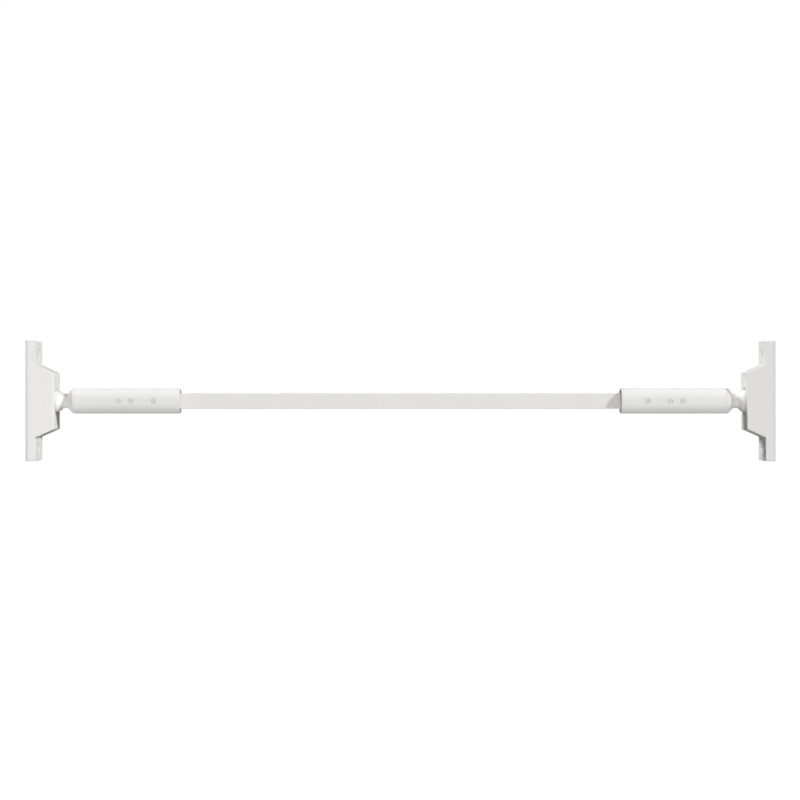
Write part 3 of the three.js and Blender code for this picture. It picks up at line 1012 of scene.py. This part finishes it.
CAMERA_DISTANCE = 2.42
CAMERA_CENTRE = (-0.0006, 0.0012)  # X and Z that the middle of the picture looks at
LENS = 85.5
FLOOR_Z = -1.8
FLOOR_HALF_SIZE = 30
FLOOR_GLOW = 0.45
WHITE = (1.0, 1.0, 1.0)
WARM_WHITE = (1.0, 0.99, 0.975)
SOFT_WHITE = (1.0, 0.99, 0.98)
BACKDROP = 1.02  # the world's strength to the eye
FRONT_GLOW = 0.21  # the world's strength as a light, from the front and from behind
BACK_GLOW = 0.07
GLOW_FADE = 0.3  # where the one passes into the other, either side of the middle
KEY_DIRECTION = (0.8375, -0.352, 0.419)
KEY_WIDTH = 3
TOP_DIRECTION = (0.0, 0.25, 0.97)
SOFT_WIDTH = 40


def at_wall(name):
    return any(word in name for word in ("bracket", "pad", "ball", "anchor"))


# The pieces that a sun lights, or that shade it
GROUPS = {
    "all": lambda name: True,
    "bar": lambda name: not at_wall(name),
    "brackets": at_wall,
    "right_bracket": lambda name: at_wall(name) and name.startswith("right"),
    "right_plug": lambda name: name == "right_nose_plug",
    "key": lambda name: name not in ("right_nose_plug", "right_ball"),
    "top": lambda name: not at_wall(name) or name == "right_ball",
    "key_shades": lambda name: (
        not (name.startswith("right") and at_wall(name)) or name == "right_ball"
    ),
}


def camera():
    data = bpy.data.cameras.new("camera")
    data.lens = LENS
    data.sensor_width = 36
    data.clip_end = 100
    made = add_object("camera", data)
    made.location = (CAMERA_CENTRE[0], -CAMERA_DISTANCE, CAMERA_CENTRE[1])
    made.rotation_euler = (math.pi / 2, 0, 0)
    bpy.context.scene.camera = made


def collect(name, group):
    """A collection of the meshes that belong to a group."""
    made = bpy.data.collections.new(name)
    for piece in bpy.context.scene.objects:
        if piece.type == "MESH" and GROUPS[group](piece.name):
            made.objects.link(piece)
    return made


def sun(name, direction, strength, width, colour, lights, shines=False, shaded_by=None):
    """A sun from a direction, its width in degrees. One that doesn't shine makes no highlight."""
    data = bpy.data.lights.new(name, "SUN")
    data.energy = strength
    data.angle = math.radians(width)
    data.color = colour
    made = add_object(name, data)
    made.rotation_euler = Vector(direction).to_track_quat("Z", "Y").to_euler()
    made.visible_glossy = shines
    made.light_linking.receiver_collection = collect(f"lit_by_{name}", lights)
    if shaded_by:
        made.light_linking.blocker_collection = collect(f"shades_{name}", shaded_by)


def suns():
    """The photo's light differs from end to end, so that some suns light only some pieces."""
    # the key's blockers leave out the right bracket, which would shade the sleeve beside it
    sun("key", KEY_DIRECTION, 2.6, KEY_WIDTH, WARM_WHITE, "key", True, "key_shades")
    sun("top_glint", TOP_DIRECTION, 0.4, 20, WHITE, "top", True)
    sun("key_right", KEY_DIRECTION, 1.9, KEY_WIDTH, WARM_WHITE, "right_plug")
    sun("top", TOP_DIRECTION, 1.68, SOFT_WIDTH, WHITE, "top")
    sun("low_front", (0.0, -0.82, -0.57), 1.7, SOFT_WIDTH, SOFT_WHITE, "bar")
    sun("front", (0.0, -0.93, -0.36), 1.49, SOFT_WIDTH, SOFT_WHITE, "brackets")
    sun("back", (0.0, 1.0, 0.1), 1.6, SOFT_WIDTH, WHITE, "all")
    sun("side", (-0.765, 0.185, 0.617), 2.75, 18, WHITE, "right_bracket")


def floor():
    """A pale floor far below. It doesn't light the object, so that the undersides stay shaded."""
    bm = bmesh.new()
    bmesh.ops.create_grid(bm, x_segments=8, y_segments=8, size=FLOOR_HALF_SIZE)
    mesh = bpy.data.meshes.new("floor")
    bm.to_mesh(mesh)
    bm.free()
    made = add_object("floor", mesh)
    made.location = (0, 0, FLOOR_Z)
    made.visible_diffuse = False
    made.visible_glossy = False
    made.visible_shadow = False
    material, tree, bsdf = shader("pale_floor", roughness=0.9, specular=0.0)
    blend_colours(tree, noise(tree, scale=1.5), (0.93, 0.93, 0.93), (0.95, 0.95, 0.95), bsdf)
    bsdf.inputs["Emission Color"].default_value = (*WHITE, 1)
    bsdf.inputs["Emission Strength"].default_value = FLOOR_GLOW
    mesh.materials.append(material)


def world():
    """White to the eye. As a light it is faint: a little more from the front than from behind."""
    made = bpy.data.worlds.new("studio")
    bpy.context.scene.world = made
    made.use_nodes = True
    tree = made.node_tree
    tree.nodes.clear()
    output = tree.nodes.new("ShaderNodeOutputWorld")
    white = tree.nodes.new("ShaderNodeBackground")
    white.inputs["Color"].default_value = (*WHITE, 1)
    white.inputs["Strength"].default_value = BACKDROP
    glow = tree.nodes.new("ShaderNodeBackground")
    glow.inputs["Color"].default_value = (*WHITE, 1)
    place = tree.nodes.new("ShaderNodeTexCoord")
    split = tree.nodes.new("ShaderNodeSeparateXYZ")
    remap = tree.nodes.new("ShaderNodeMapRange")
    remap.interpolation_type = "SMOOTHSTEP"
    remap.inputs["From Min"].default_value = -GLOW_FADE
    remap.inputs["From Max"].default_value = GLOW_FADE
    remap.inputs["To Min"].default_value = FRONT_GLOW
    remap.inputs["To Max"].default_value = BACK_GLOW
    path = tree.nodes.new("ShaderNodeLightPath")
    mix = tree.nodes.new("ShaderNodeMixShader")
    tree.links.new(place.outputs["Generated"], split.inputs["Vector"])
    tree.links.new(split.outputs["Y"], remap.inputs["Value"])
    tree.links.new(remap.outputs["Result"], glow.inputs["Strength"])
    tree.links.new(path.outputs["Is Camera Ray"], mix.inputs["Fac"])
    tree.links.new(glow.outputs["Background"], mix.inputs[1])
    tree.links.new(white.outputs["Background"], mix.inputs[2])
    tree.links.new(mix.outputs["Shader"], output.inputs["Surface"])


camera()
floor()
world()
suns()
bpy.context.scene.view_settings.view_transform = "Standard"
